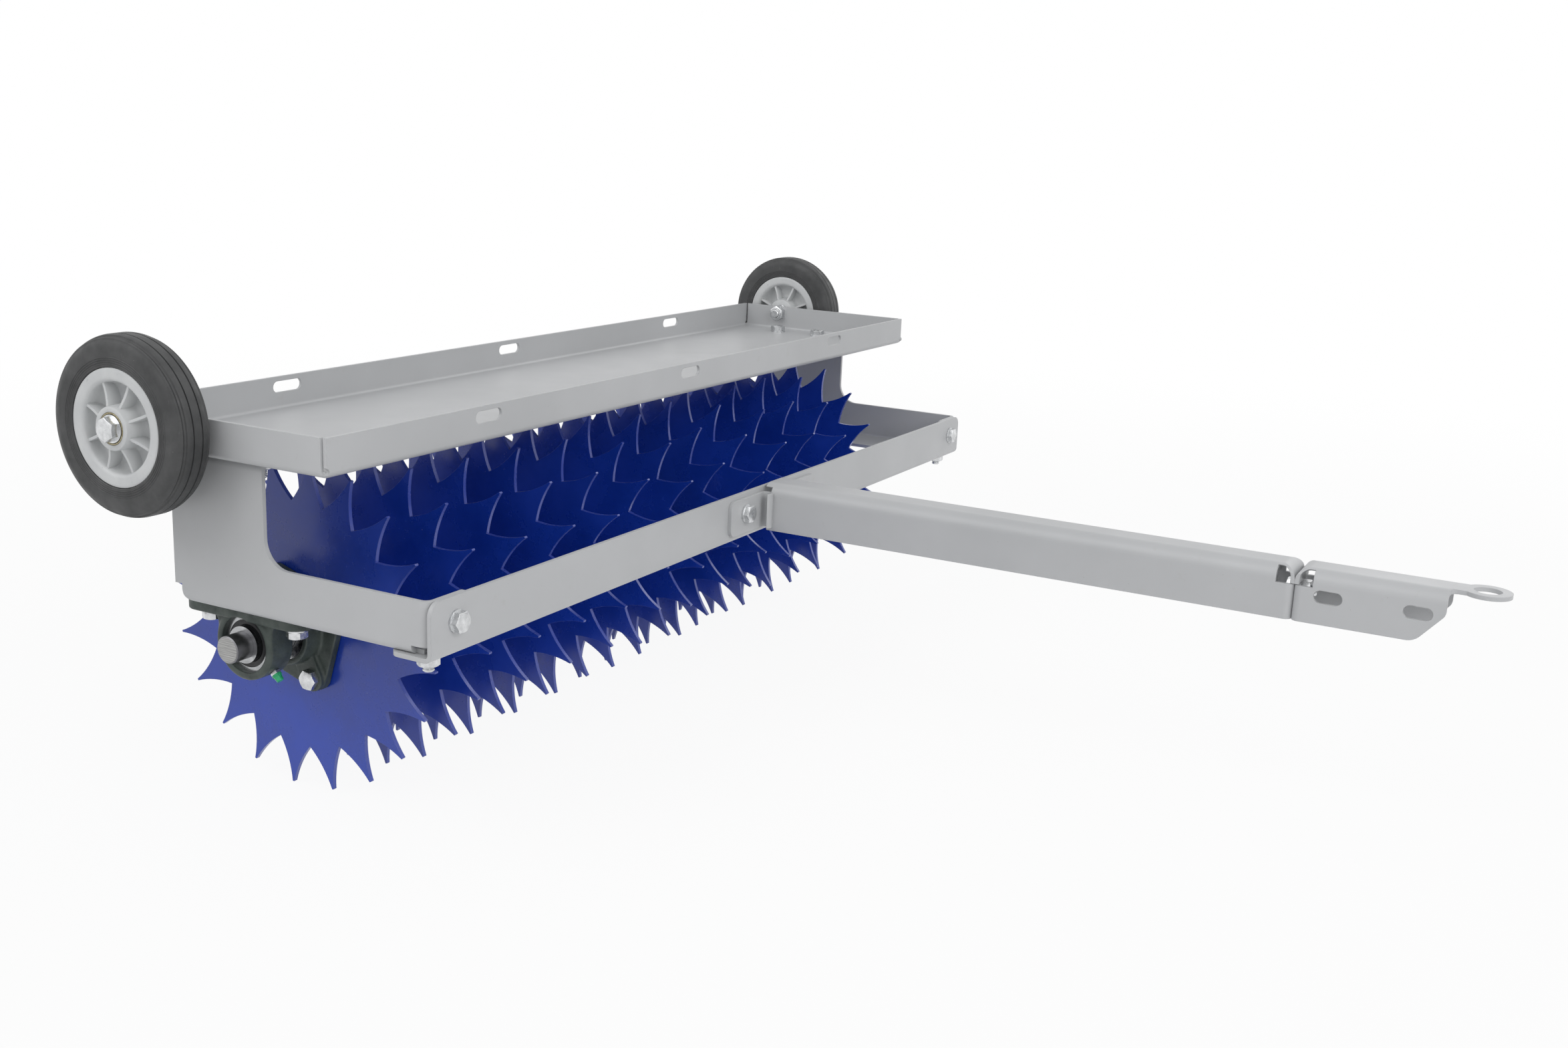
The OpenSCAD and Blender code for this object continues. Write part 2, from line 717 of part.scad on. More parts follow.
// Folded in end of a channel, closing face at y = 0 and the channel on the +Y side:
// two side returns and a tongue bent down from the top
module channel_end() {
    return_l = draw_w * 0.3;
    tongue_gap = 0.6;
    both_sides() translate([-draw_w / 2, 0, 0])
        linear_extrude(side_top) folded(return_l, end_l, plate_t, bend_r);
    intersection() {
        rotate([90, 0, 90]) linear_extrude(draw_w, center = true)
            translate([0, draw_h]) mirror([0, 1, 0]) folded(end_l, draw_h - 6, plate_t, draw_bend);
        rotate([90, 0, 0]) linear_extrude(3 * end_l, center = true) difference() {
            channel_block(draw_w, draw_h, top_r);
            both_sides() translate([-draw_w, -cut]) square([draw_w / 2 + return_l + tongue_gap, side_top + cut + tongue_gap]);
            both_sides() translate([-draw_w, side_top]) square([draw_w / 2 + 2, side_top]);
        }
    }
}

// Clears the channel's own end, and a window in each side where the three folds meet
module channel_end_space() {
    translate([-draw_w, -cut, -cut]) cube([2 * draw_w, top_r + cut, draw_h + 2 * cut]);
}

module channel_end_windows() {
    window_top = draw_h - 1.5;
    both_sides() translate([-draw_w / 2 - cut, 0, 0]) rotate([90, 0, 90]) linear_extrude(top_r + 2 * cut)
        difference() {
            translate([plate_t, side_top]) square([end_l - plate_t, window_top - side_top]);
            corner_cut([plate_t, window_top], [plate_t, 0], [end_l, window_top], draw_bend);
        }
}

module end_bolt_hole() {
    translate([0, 0, draw_h / 2]) rotate([90, 0, 0])
        cylinder(h = 6 * plate_t, r = hole_r, center = true);
}

module tow_bar() {
    ear_h = 42;
    ear_r = 8;
    ear_lift = 4;
    fold = 4;
    relief_l = 12;
    ear_end = -draw_w / 2 + plate_t - ear_w;
    color([0.66, 0.67, 0.68]) placed() translate([draw_x, 0, draw_z]) difference() {
        union() {
            difference() {
                translate([0, -bar_y - plate_t, 0]) channel(draw_l - plate_t);
                translate([0, end_y, 0]) channel_end_space();
                both_sides() translate([-draw_w, -bar_y - relief_l, ear_h])
                    cube([draw_w - top_r + bend_r, relief_l, draw_h - plate_t - ear_h]);
                translate([-draw_w, -bar_y - fold - plate_t, -cut]) cube([2 * draw_w, fold + plate_t + cut, ear_h + cut]);
            }
            both_sides() translate([-draw_w / 2 + plate_t, -bar_y, ear_lift]) rotate([0, 0, 180])
                linear_extrude(ear_h - ear_lift) folded(ear_w, fold + plate_t + cut, plate_t, fold);
            translate([0, end_y, 0]) channel_end();
        }
        both_sides() translate([0, -bar_y, 0]) rotate([90, 0, 0]) linear_extrude(3 * plate_t, center = true) {
            corner_cut([ear_end, ear_h], [0, ear_h], [ear_end, 0], ear_r);
            corner_cut([ear_end, ear_lift], [0, ear_lift], [ear_end, ear_h], ear_r);
        }
        for (s = [-1, 1]) translate([s * ear_bolt_x, -bar_y, bar_bolt_z - draw_z]) rotate([90, 0, 0])
            cylinder(h = 4 * plate_t, r = hole_r, center = true);
        translate([0, end_y, 0]) end_bolt_hole();
        translate([0, end_y, 0]) channel_end_windows();
    }
}

module hitch() {
    nose = 24;
    nose_h = 28;
    web_top = draw_h - plate_t;
    fillet = 6;
    neck = 2 * (eye_d / 2 + eye_rim) - 15;
    start = end_y;
    finish = end_y - hitch_l;
    slot_mid = (start + finish) / 2 - 4;
    color([0.66, 0.67, 0.68]) placed() translate([draw_x, 0, draw_z]) difference() {
        union() {
            difference() {
                translate([0, start, 0]) channel(hitch_l);
                translate([0, start, 0]) mirror([0, 1, 0]) channel_end_space();
                rotate([90, 0, 90]) linear_extrude(2 * draw_w, center = true) {
                    polygon([[finish - cut, -cut], [finish + nose, -cut], [finish + nose, 0], [finish, nose_h], [finish - cut, nose_h]]);
                    corner_cut([finish, nose_h], [finish + nose, 0], [finish, draw_h], 8);
                    corner_cut([finish + nose, 0], [finish, nose_h], [start, 0], 16);
                }
            }
            translate([0, start, 0]) mirror([0, 1, 0]) channel_end();
            translate([0, 0, web_top]) linear_extrude(plate_t) {
                translate([0, eye_y]) circle(eye_d / 2 + eye_rim);
                translate([-neck / 2, eye_y]) square([neck, finish - eye_y + cut]);
            }
            intersection() {
                translate([0, finish, 0]) channel(fillet);
                translate([0, 0, web_top - 2 * plate_t]) linear_extrude(4 * plate_t) difference() {
                    translate([-neck / 2 - fillet, finish - fillet]) square([neck + 2 * fillet, fillet]);
                    for (s = [-1, 1]) translate([s * (neck / 2 + fillet), finish - fillet]) circle(fillet);
                }
            }
        }
        translate([0, eye_y, web_top - cut]) cylinder(h = plate_t + 2 * cut, r = eye_d / 2);
        for (k = [-1, 1]) translate([0, slot_mid + k * side_slot_s / 2, side_slot_z])
            rotate([90, 0, 90]) linear_extrude(2 * draw_w, center = true) slot2d(side_slot_l, side_slot_h);
        translate([0, start, 0]) end_bolt_hole();
        translate([0, start, 0]) mirror([0, 1, 0]) channel_end_windows();
    }
}

// Fasteners of the frame
zinc = [0.8, 0.81, 0.82];

module frame_bolts() {
    color(zinc) placed() {
        at_tray_bolts() washered_bolt(bolt_l);
        at_bar_bolts() washered_bolt(bolt_l);
        at_bottom_bolts() washered_bolt(bolt_l);
        at_ear_bolts() washered_bolt(bolt_l);
    }
}

module washered_bolt(l) {
    translate([0, 0, washer_t]) hex_bolt(bolt_d, l, nut_af, head_h);
}

module frame_washers() {
    color(zinc) placed() {
        at_tray_bolts() washer(washer_r, washer_t, hole_r);
        at_bar_bolts() washer(washer_r, washer_t, hole_r);
        at_bottom_bolts() for (z = [0, -2 * plate_t - washer_t])
            translate([0, 0, z]) washer(washer_r, washer_t, hole_r);
        at_ear_bolts() washer(washer_r, washer_t, hole_r);
        at_pillow_bolts() {
            washer(washer_r, washer_t, hole_r);
            translate([0, 0, washer_t]) washer(spring_r, spring_t, hole_r);
        }
    }
}

module frame_nuts() {
    color(zinc) placed() {
        at_tray_bolts() nut_below(tray_t + plate_t);
        at_bar_bolts() nut_below(2 * plate_t);
        at_bottom_bolts() nut_below(2 * plate_t + washer_t);
        at_ear_bolts() nut_below(2 * plate_t);
        at_pillow_bolts() nut_below(foot_t + plate_t);
    }
}

module nut_below(grip) {
    translate([0, 0, -grip]) mirror([0, 0, 1]) hex_nut(bolt_d, nut_af, nut_h);
}

module pillow_bolts() {
    below = washer_t + spring_t;
    color(zinc) placed() at_pillow_bolts() translate([0, 0, below])
        hex_bolt(bolt_d, below + foot_t + plate_t + nut_h + 3, nut_af, head_h);
}

// Bolt through the two folded channel ends, its head inside the drawbar
module at_hitch_joint() {
    placed() translate([draw_x, end_y, draw_z + draw_h / 2]) children();
}

module hitch_bolt() {
    color(zinc) at_hitch_joint() translate([0, plate_t, 0]) rotate([-90, 0, 0])
        hex_bolt(bolt_d, 2 * plate_t + nut_h + 6, nut_af, head_h);
}

module hitch_nut() {
    color(zinc) at_hitch_joint() translate([0, -plate_t, 0]) rotate([90, 0, 0])
        hex_nut(bolt_d, nut_af, nut_h);
}

// Wheels, drawn with the axis on X and the wheel's middle at x = 0
module at_wheel(side) {
    placed() mirror([side > 0 ? 1 : 0, 0, 0]) translate([-wheel_x, wheel_y, wheel_z]) children();
}

module turned_x() {
    rotate([0, 90, 0]) rotate_extrude($fn = 96) children();
}

module tyre(side) {
    r = tyre_d / 2;
    seat = rim_d / 2 + fit_gap;
    shoulder = 12;
    color([0.13, 0.13, 0.13]) at_wheel(side) turned_x() difference() {
        union() {
            translate([seat, -tyre_w / 2]) square([r - seat - shoulder, tyre_w]);
            translate([seat, shoulder - tyre_w / 2]) square([r - seat, tyre_w - 2 * shoulder]);
            for (s = [-1, 1]) translate([r - shoulder, s * (tyre_w / 2 - shoulder)]) circle(shoulder);
        }
        for (y = [-5, 5]) translate([r, y]) circle(1.2);
    }
}

module wheel_rim(side) {
    band_in = rim_d / 2 - 12;
    hub_r = hub_d / 2;
    hub_out = -rim_w / 2 - hub_proud;
    hub_in = sleeve_in - side_gap;
    bore_r = sleeve_d / 2 + run_gap;
    web_t = 5;
    spoke_t = 3;
    spoke_dip = 3;
    color([0.78, 0.79, 0.8]) at_wheel(side) {
        rotate([0, 90, 0]) rotate_extrude($fn = 96) {
            difference() {
                translate([band_in, -rim_w / 2]) square([rim_d / 2 - band_in, rim_w]);
                for (s = [-1, 1]) corner_cut([band_in, s * rim_w / 2], [band_in, 0], [rim_d / 2, s * rim_w / 2], 4);
            }
            difference() {
                translate([bore_r, hub_out]) square([hub_r - bore_r, hub_in - hub_out]);
                translate([bore_r - cut, hub_out - cut])
                    square([axle_washer_r + 2 - bore_r + cut, sleeve_out + side_gap - hub_out + cut]);
            }
            translate([hub_r - cut, -web_t / 2]) square([band_in - hub_r + 2 * cut, web_t]);
        }
        for (k = [0:spoke_count - 1]) rotate([(k + 0.5) * 360 / spoke_count, 0, 0])
            rotate([90, 0, 0]) linear_extrude(spoke_t, center = true) polygon([
                [hub_out + spoke_dip, hub_r - cut],
                [hub_in - spoke_dip, hub_r - cut],
                [rim_w / 2 - spoke_dip, band_in + cut],
                [spoke_dip - rim_w / 2, band_in + cut]
            ]);
    }
}

module wheel_sleeves() {
    color([0.6, 0.6, 0.62]) for (side = [-1, 1]) at_wheel(side)
        ring_x(sleeve_out, sleeve_l, sleeve_d / 2, axle_r + 0.2);
}

module wheel_bolts() {
    grip = axle_washer_t * 2 + sleeve_l + tray_t;
    color(zinc) for (side = [-1, 1]) at_wheel(side)
        translate([sleeve_out - axle_washer_t, 0, 0]) facing_left()
            hex_bolt(axle_d, grip + axle_nut + 2, axle_af, axle_head);
}

module wheel_washers() {
    color(zinc) for (side = [-1, 1], x = [sleeve_out, sleeve_in + axle_washer_t]) at_wheel(side)
        translate([x, 0, 0]) facing_left() washer(axle_washer_r, axle_washer_t, axle_r + bolt_gap);
}

module wheel_lock_nuts() {
    color(zinc) for (side = [-1, 1]) at_wheel(side)
        translate([sleeve_in + axle_washer_t + tray_t, 0, 0]) mirror([1, 0, 0]) facing_left()
            hex_nut(axle_d, axle_af, axle_nut);
}

weight_tray();
side_plate(-1);  // side_plate_left
side_plate(1);  // side_plate_right
front_bar();
tow_bar();
hitch();
frame_bolts();
frame_washers();
frame_nuts();
pillow_bolts();
hitch_bolt();
hitch_nut();
at_pillow(-1) pillow_housing();  // pillow_housing_left
at_pillow(1) pillow_housing();  // pillow_housing_right
pillow_outer(-1);  // pillow_outer_ring_left
pillow_outer(1);  // pillow_outer_ring_right
for (s = [-1, 1]) at_pillow(s) grease_nipple();  // grease_nipples
for (s = [-1, 1]) at_pillow(s) nipple_cap();  // nipple_caps
wheel_bolts();
wheel_washers();
wheel_lock_nuts();
wheel_sleeves();
shaft();
pillow_inner(-1);  // pillow_inner_ring_left
pillow_inner(1);  // pillow_inner_ring_right
flange_parts([1:4]) inner_ring();  // flange_inner_rings
for (s = [-1, 1]) at_pillow(s) balls();  // pillow_balls
flange_parts([1:4]) balls();  // flange_balls
for (i = [1:star_count]) star(i);
drum_tube(1, left_count);  // drum_tube_left
drum_tube(left_count + 1, star_count);  // drum_tube_right
for (k = [1:4]) flange_housing(k);
flange_parts([1, 2]) outer_ring();  // flange_outer_rings_left
flange_parts([3, 4]) outer_ring();  // flange_outer_rings_right
flange_bolts([1, 2]);  // flange_bolts_left
flange_bolts([3, 4]);  // flange_bolts_right
flange_nuts([1, 2]);  // flange_nuts_left
flange_nuts([3, 4]);  // flange_nuts_right
wheel_rim(-1);  // wheel_rim_left
wheel_rim(1);  // wheel_rim_right
tyre(-1);  // tyre_left
tyre(1);  // tyre_right
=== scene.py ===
"""Looks of a tow behind aerator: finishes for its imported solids, and the pieces that need finer forms.

Metres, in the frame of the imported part: X along the drum, -Y the towing direction, +Z up.
"""
import json
import math
from mathutils import Matrix, Vector

import bmesh
import bpy

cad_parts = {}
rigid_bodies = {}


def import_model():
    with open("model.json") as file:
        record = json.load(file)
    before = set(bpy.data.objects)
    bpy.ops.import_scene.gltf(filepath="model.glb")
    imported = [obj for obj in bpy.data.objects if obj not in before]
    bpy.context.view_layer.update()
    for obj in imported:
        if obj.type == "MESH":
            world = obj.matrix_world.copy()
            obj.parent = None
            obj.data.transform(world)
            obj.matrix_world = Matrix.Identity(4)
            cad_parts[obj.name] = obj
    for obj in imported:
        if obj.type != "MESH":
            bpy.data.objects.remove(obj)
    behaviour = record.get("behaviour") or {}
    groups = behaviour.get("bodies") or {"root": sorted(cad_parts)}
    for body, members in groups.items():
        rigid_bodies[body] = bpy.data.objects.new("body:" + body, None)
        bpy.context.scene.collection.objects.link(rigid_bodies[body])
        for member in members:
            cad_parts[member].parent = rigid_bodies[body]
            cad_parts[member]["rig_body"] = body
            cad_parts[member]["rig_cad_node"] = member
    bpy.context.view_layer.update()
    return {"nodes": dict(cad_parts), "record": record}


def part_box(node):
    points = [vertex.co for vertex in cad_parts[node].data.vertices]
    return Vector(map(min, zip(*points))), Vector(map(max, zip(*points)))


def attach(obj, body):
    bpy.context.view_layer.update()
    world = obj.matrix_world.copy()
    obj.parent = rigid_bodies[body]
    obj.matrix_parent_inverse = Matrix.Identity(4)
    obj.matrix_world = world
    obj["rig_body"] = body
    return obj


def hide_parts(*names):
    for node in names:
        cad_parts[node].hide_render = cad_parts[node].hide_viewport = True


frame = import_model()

MM = 0.001
# the camera's focal length and picture width in pixels of the photograph, and its place from the shaft
PHOTO_WIDTH = 2347
PHOTO_FOCAL = 2477.0
CAMERA_FROM_SHAFT = Vector((-1.54274, -1.06146, 0.47375))
CAMERA_RIGHT = Vector((0.47173, -0.88073, 0.04233))
CAMERA_DOWN = Vector((-0.19194, -0.14943, -0.96996))
SENSOR_WIDTH = 36
WORLD_LIGHT = 0.5
SPOKES = 8
# stars that end each half of the drum, and carry its bearings
HALF_DRUMS = {"left": (1, 7), "right": (8, 13)}
# common fasteners in mm, and the play on either side of a thread's nominal radius
THREAD_PLAY = 0.05
M10_BOLT = {"across_flats": 17, "head": 6.4, "diameter": 10, "pitch": 1.5}
M12_BOLT = {"across_flats": 18.6, "head": 7.56, "diameter": 12, "pitch": 1.75}
M10_NUT = {"across_flats": 17, "height": 8, "diameter": 10}
M12_LOCK_NUT = {"across_flats": 18.6, "height": 12, "diameter": 12, "collar": 3}

bpy.context.scene.view_settings.view_transform = "Standard"


def middle_of(node):
    """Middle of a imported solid's box."""
    low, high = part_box(node)
    return (low + high) / 2


shaft_middle = middle_of("shaft")
wheel_middle = {side: middle_of("tyre_" + side) for side in ("left", "right")}
pillow_middle = {side: middle_of("pillow_outer_ring_" + side) for side in ("left", "right")}


# Camera


def set_camera():
    """The photograph's view, in the camera's own right, down and forward directions."""
    ahead = CAMERA_RIGHT.cross(-CAMERA_DOWN).normalized() * -1
    bpy.ops.object.camera_add()
    camera = bpy.context.object
    camera.name = "camera"
    place = Matrix.Translation(Vector((0, shaft_middle.y, shaft_middle.z)) + CAMERA_FROM_SHAFT)
    turn = Matrix((CAMERA_RIGHT, -CAMERA_DOWN, -ahead)).transposed().to_4x4()
    camera.matrix_world = place @ turn
    camera.data.sensor_width = SENSOR_WIDTH
    camera.data.lens = PHOTO_FOCAL / PHOTO_WIDTH * SENSOR_WIDTH
    camera.data.clip_end = 60
    bpy.context.scene.camera = camera


# Finishes


def combined(nodes, links, operation, a, b):
    """Result of a Math node on two values, each a number or a socket."""
    node = nodes.new("ShaderNodeMath")
    node.operation = operation
    for socket, value in zip(node.inputs, (a, b)):
        if isinstance(value, (int, float)):
            socket.default_value = value
        else:
            links.new(value, socket)
    return node.outputs["Value"]


class Finish:
    """A material under construction, with short names for the nodes that it needs."""

    def __init__(self, name):
        self.material = bpy.data.materials.new(name)
        self.material.use_nodes = True
        self.nodes = self.material.node_tree.nodes
        self.links = self.material.node_tree.links
        self.shader = self.nodes["Principled BSDF"]
        self.place = self.nodes.new("ShaderNodeTexCoord").outputs["Object"]

    def set(self, **values):
        for socket, value in values.items():
            self.shader.inputs[socket.replace("_", " ")].default_value = value

    def link(self, source, target):
        self.links.new(source, target)

    def noise(self, scale, detail, roughness=0.55, stretch=None):
        place = self.place
        if stretch:
            mapping = self.nodes.new("ShaderNodeMapping")
            mapping.inputs["Scale"].default_value = stretch
            self.link(place, mapping.inputs["Vector"])
            place = mapping.outputs["Vector"]
        node = self.nodes.new("ShaderNodeTexNoise")
        node.inputs["Scale"].default_value = scale
        node.inputs["Detail"].default_value = detail
        node.inputs["Roughness"].default_value = roughness
        self.link(place, node.inputs["Vector"])
        return node.outputs["Fac"]

    def specks(self, scale):
        node = self.nodes.new("ShaderNodeTexVoronoi")
        node.inputs["Scale"].default_value = scale
        self.link(self.place, node.inputs["Vector"])
        return node.outputs["Distance"]

    def between(self, value, low, high, to_low=0.0, to_high=1.0):
        node = self.nodes.new("ShaderNodeMapRange")
        limits = {"From Min": low, "From Max": high, "To Min": to_low, "To Max": to_high}
        for socket, number in limits.items():
            node.inputs[socket].default_value = number
        self.link(value, node.inputs["Value"])
        return node.outputs["Result"]

    def clouds(self, scale, detail, roughness=0.55, top=0.65):
        """Soft patches between 0 and 1."""
        return self.between(self.noise(scale, detail, roughness), 0.35, top)

    def sum(self, a, b, kind="ADD"):
        return combined(self.nodes, self.links, kind, a, b)

    def facing_x(self):
        """How much a face looks along X, from 0 round the axis to 1 across it."""
        face = self.nodes.new("ShaderNodeNewGeometry")
        parts = self.nodes.new("ShaderNodeSeparateXYZ")
        self.link(face.outputs["Normal"], parts.inputs["Vector"])
        return self.sum(parts.outputs["X"], parts.outputs["X"], "MULTIPLY")

    def end_faces(self):
        """Mask of the faces that look along X."""
        return self.between(self.facing_x(), 0.6, 0.9)

    def mix(self, amount, first, second):
        node = self.nodes.new("ShaderNodeMix")
        node.data_type = "RGBA"
        self.link(amount, node.inputs["Factor"])
        for socket, value in zip((node.inputs[6], node.inputs[7]), (first, second)):
            if isinstance(value, tuple):
                socket.default_value = (*value, 1)
            else:
                self.link(value, socket)
        return node.outputs[2]

    def colour(self, source):
        self.link(source, self.shader.inputs["Base Color"])

    def roughness(self, pattern, smoothest, roughest, low=0.3):
        """Roughness that drifts with a pattern."""
        self.link(self.between(pattern, low, 0.7, smoothest, roughest), self.shader.inputs["Roughness"])

    def soft_edges(self, radius):
        """Rounds the edges in the shading. Returns the rounded normal and a mask of the edges."""
        rounded = self.nodes.new("ShaderNodeBevel")
        rounded.samples = 4
        rounded.inputs["Radius"].default_value = radius
        flat = self.nodes.new("ShaderNodeNewGeometry")
        dot = self.nodes.new("ShaderNodeVectorMath")
        dot.operation = "DOT_PRODUCT"
        self.link(rounded.outputs["Normal"], dot.inputs[0])
        self.link(flat.outputs["Normal"], dot.inputs[1])
        return rounded.outputs["Normal"], self.between(dot.outputs["Value"], 0.995, 0.86)

    def bump(self, height, strength, distance, normal=None):
        node = self.nodes.new("ShaderNodeBump")
        node.inputs["Strength"].default_value = strength
        node.inputs["Distance"].default_value = distance
        self.link(height, node.inputs["Height"])
        if normal:
            self.link(normal, node.inputs["Normal"])
        self.link(node.outputs["Normal"], self.shader.inputs["Normal"])


def grey_powder_coat():
    """Light grey coat on folded sheet: fine orange peel, faint clouds, lighter edges that are partly wear
    from rubbing and partly painted highlight, and a few specks.
    """
    f = Finish("grey_powder_coat")
    f.set(Metallic=0.0, Coat_Weight=0.12, Coat_Roughness=0.3)
    normal, edges = f.soft_edges(0.9 * MM)
    clouds = f.clouds(5, 4)
    coat = f.mix(clouds, (0.485, 0.492, 0.5), (0.53, 0.536, 0.545))
    dust = f.between(f.noise(60, 5, 0.7), 0.62, 0.78, 0, 0.35)
    coat = f.mix(dust, coat, (0.43, 0.42, 0.4))
    # lighter edges: partly wear from rubbing, partly painted highlight on the sheet edges
    rubbing_wear_and_highlight = f.sum(edges, f.between(f.noise(90, 2), 0.4, 0.6, 0.25, 0.8), "MULTIPLY")
    coat = f.mix(rubbing_wear_and_highlight, coat, (0.68, 0.69, 0.7))
    specks = f.between(f.specks(70), 0.035, 0.02, 0, 0.5)
    f.colour(f.mix(specks, coat, (0.3, 0.3, 0.3)))
    f.roughness(f.noise(14, 4), 0.36, 0.5)
    f.bump(f.noise(900, 1), 0.12, 0.05 * MM, normal)
    return f.material


def blue_star_paint():
    """Glossy royal blue with a cloudy sheen, painted paler on the cut edge faces of the plates as a painted
    highlight, and lighter on the rounded edges, partly paint wear and partly painted highlight.
    """
    f = Finish("blue_star_paint")
    f.set(Metallic=0.0, Coat_Weight=0.35, Coat_Roughness=0.16)
    normal, edges = f.soft_edges(0.5 * MM)
    clouds = f.clouds(9, 5, 0.6, 0.68)
    paint = f.mix(clouds, (0.006, 0.036, 0.33), (0.011, 0.056, 0.46))
    # painted highlight: faces across the plates' cut edges are mixed towards a paler blue
    painted_cut_edge_highlight = f.between(f.facing_x(), 0.3, 0.15, 0, 0.55)
    paint = f.mix(painted_cut_edge_highlight, paint, (0.07, 0.1, 0.42))
    # lighter rounded edges: partly paint wear, partly painted highlight
    paint_wear_and_highlight = f.sum(edges, f.between(f.noise(130, 3), 0.45, 0.62, 0.1, 0.9), "MULTIPLY")
    paint = f.mix(paint_wear_and_highlight, paint, (0.2, 0.24, 0.55))
    marks = f.between(f.specks(60), 0.05, 0.02, 0, 0.35)
    few = f.between(f.noise(13, 2), 0.58, 0.62)
    f.colour(f.mix(f.sum(marks, few, "MULTIPLY"), paint, (0.3, 0.33, 0.45)))
    f.roughness(f.noise(18, 5, 0.65), 0.2, 0.38, low=0.35)
    f.bump(f.noise(420, 2), 0.12, 0.08 * MM, normal)
    return f.material


def cast_housing():
    """Dark green grey paint on rough cast iron."""
    f = Finish("cast_housing")
    f.set(Metallic=0.0, Coat_Weight=0.1)
    clouds = f.clouds(60, 4)
    f.colour(f.mix(clouds, (0.03, 0.042, 0.038), (0.062, 0.08, 0.07)))
    f.roughness(f.noise(150, 3), 0.42, 0.68)
    grain = f.sum(f.noise(700, 4, 0.6), f.noise(190, 2), "ADD")
    f.bump(grain, 0.55, 0.35 * MM)
    return f.material


def drawn_steel():
    """Dark drawn bar with sawn ends: fine lines across the end faces, light scale along the bar."""
    f = Finish("drawn_steel")
    f.set(Metallic=1.0)
    end_face = f.end_faces()
    scale = f.between(f.noise(40, 4, 0.6, (0.15, 1, 1)), 0.35, 0.7)
    bar = f.mix(scale, (0.16, 0.16, 0.17), (0.3, 0.3, 0.31))
    saw_lines = f.between(f.noise(60, 3, 0.6, (1, 0.4, 30)), 0.35, 0.65)
    sawn = f.mix(saw_lines, (0.22, 0.22, 0.22), (0.5, 0.5, 0.49))
    f.colour(f.mix(end_face, bar, sawn))
    f.roughness(f.noise(90, 3), 0.28, 0.48)
    scratches = f.noise(45, 2, 0.6, (1, 0.5, 40))
    f.bump(f.sum(scratches, end_face, "MULTIPLY"), 0.5, 0.12 * MM)
    return f.material


def ground_steel():
    """Ground bearing steel: bright end faces, oiled dark collars with turning lines."""
    f = Finish("ground_steel")
    f.set(Metallic=1.0)
    clouds = f.clouds(120, 3)
    collar = f.mix(clouds, (0.11, 0.115, 0.125), (0.2, 0.205, 0.215))
    end_face = f.mix(clouds, (0.36, 0.365, 0.375), (0.48, 0.485, 0.495))
    f.colour(f.mix(f.end_faces(), collar, end_face))
    f.roughness(f.noise(200, 2), 0.14, 0.28)
    f.bump(f.noise(1500, 1, 0.5, (1, 0.1, 0.1)), 0.15, 0.03 * MM)
    return f.material


def zinc_plate():
    """Bright zinc on bolts, nuts and washers, with dull patches."""
    f = Finish("zinc_plate")
    f.set(Metallic=1.0)
    patches = f.clouds(160, 4, 0.6, 0.7)
    f.colour(f.mix(patches, (0.56, 0.57, 0.58), (0.78, 0.79, 0.8)))
    f.roughness(f.noise(240, 3), 0.2, 0.4)
    normal, _ = f.soft_edges(0.3 * MM)
    f.bump(f.noise(900, 2), 0.2, 0.05 * MM, normal)
    return f.material


def green_cap_plastic():
    """Soft moulded green of the grease nipple caps."""
    f = Finish("green_cap_plastic")
    f.set(Metallic=0.0, Subsurface_Weight=0.1, Subsurface_Scale=0.002)
    f.colour(f.mix(f.clouds(300, 3), (0.015, 0.4, 0.15), (0.035, 0.5, 0.2)))
    f.roughness(f.noise(400, 2), 0.25, 0.38)
    f.bump(f.noise(900, 2), 0.1, 0.05 * MM)
    return f.material


def rim_plastic():
    """Light grey moulded plastic, with darker grime in the pockets and small specks."""
    f = Finish("rim_plastic")
    f.set(Metallic=0.0)
    clouds = f.clouds(45, 4, top=0.68)
    shell = f.mix(clouds, (0.58, 0.59, 0.595), (0.64, 0.65, 0.65))
    grime = f.between(f.noise(210, 5, 0.7), 0.62, 0.72, 0, 0.5)
    shell = f.mix(grime, shell, (0.4, 0.43, 0.44))
    specks = f.between(f.specks(330), 0.09, 0.04, 0, 0.75)
    some = f.between(f.noise(70, 2), 0.56, 0.62)
    f.colour(f.mix(f.sum(specks, some, "MULTIPLY"), shell, (0.12, 0.16, 0.18)))
    f.roughness(f.noise(60, 3), 0.3, 0.46)
    f.bump(f.noise(500, 2), 0.1, 0.06 * MM)
    return f.material


def tyre_rubber():
    """Dark grey rubber with dusty clouds and pale scuffs."""
    f = Finish("tyre_rubber")
    f.set(Metallic=0.0)
    clouds = f.clouds(30, 5, 0.6, 0.68)
    rubber = f.mix(clouds, (0.036, 0.037, 0.038), (0.066, 0.067, 0.068))
    scuffs = f.between(f.noise(160, 6, 0.75, (1, 1, 0.25)), 0.64, 0.74, 0, 0.5)
    rubber = f.mix(scuffs, rubber, (0.16, 0.16, 0.16))
    dots = f.between(f.specks(190), 0.07, 0.03, 0, 0.8)
    some = f.between(f.noise(55, 2), 0.58, 0.63)
    f.colour(f.mix(f.sum(dots, some, "MULTIPLY"), rubber, (0.34, 0.34, 0.33)))
    f.roughness(f.noise(90, 4), 0.45, 0.66)
    f.bump(f.noise(620, 4, 0.7), 0.25, 0.12 * MM)
    return f.material


def black_seal_rubber():
    """Black rubber of the bearing seals."""
    f = Finish("black_seal_rubber")
    f.set(Metallic=0.0)
    f.colour(f.mix(f.clouds(200, 3), (0.012, 0.012, 0.013), (0.03, 0.03, 0.032)))
    f.roughness(f.noise(260, 2), 0.32, 0.5)
    f.bump(f.noise(1200, 2), 0.15, 0.05 * MM)
    return f.material


